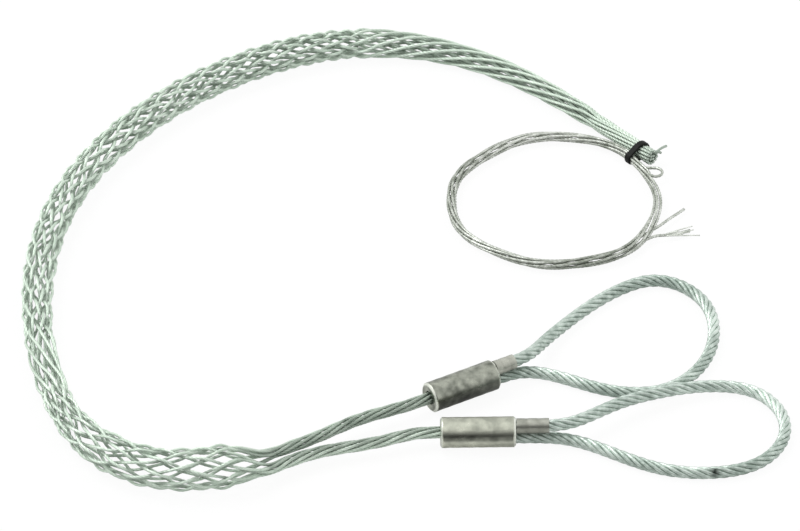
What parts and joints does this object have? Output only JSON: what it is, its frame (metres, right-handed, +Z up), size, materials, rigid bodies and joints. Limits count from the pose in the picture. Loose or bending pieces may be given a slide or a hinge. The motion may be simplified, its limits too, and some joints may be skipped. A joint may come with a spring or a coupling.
{
  "type": "cable pulling grip",
  "caption": "Woven wire mesh pulling grip for cable, with a bundled tail, two ferruled legs ending in wire rope eyes, and a tied ring of lacing strand.",
  "frame": {"origin": "on the surface that the grip lies on, under the middle of the grip's box, its loose lacing strand apart", "axes": "+Z up from the surface, +X towards the rope eyes, +Y across, from the eyes' side towards the tail's side"},
  "size_m": [0.3688, 0.3524, 0.022],
  "materials": {
    "galvanised_strand": "bright galvanised wire strand",
    "galvanised_rope": "galvanised wire rope, slightly dulled",
    "ferrule_steel": "satin, with press marks",
    "sleeve_metal": "bright thin metal",
    "black_band": "black tape",
    "lacing_strand": "bright galvanised wire strand"
  },
  "bodies": {
    "root": {"mesh_strand_01": "galvanised_strand", "mesh_strand_02": "galvanised_strand", "mesh_strand_03": "galvanised_strand", "mesh_strand_04": "galvanised_strand", "mesh_strand_05": "galvanised_strand", "mesh_strand_06": "galvanised_strand", "mesh_strand_07": "galvanised_strand", "mesh_strand_08": "galvanised_strand", "mesh_strand_09": "galvanised_strand", "mesh_strand_10": "galvanised_strand", "mesh_strand_11": "galvanised_strand", "mesh_strand_12": "galvanised_strand", "mesh_strand_13": "galvanised_strand", "mesh_strand_14": "galvanised_strand", "mesh_strand_15": "galvanised_strand", "mesh_strand_16": "galvanised_strand", "lower_ferrule": "ferrule_steel", "upper_ferrule": "ferrule_steel", "lower_eye_rope": "galvanised_rope", "upper_eye_rope": "galvanised_rope", "lower_eye_sleeve": "sleeve_metal", "upper_eye_sleeve": "sleeve_metal", "tail_band": "black_band", "lacing_coil": "lacing_strand", "lacing_long_end": "lacing_strand", "lacing_short_end": "lacing_strand"}
  },
  "joints": []
}
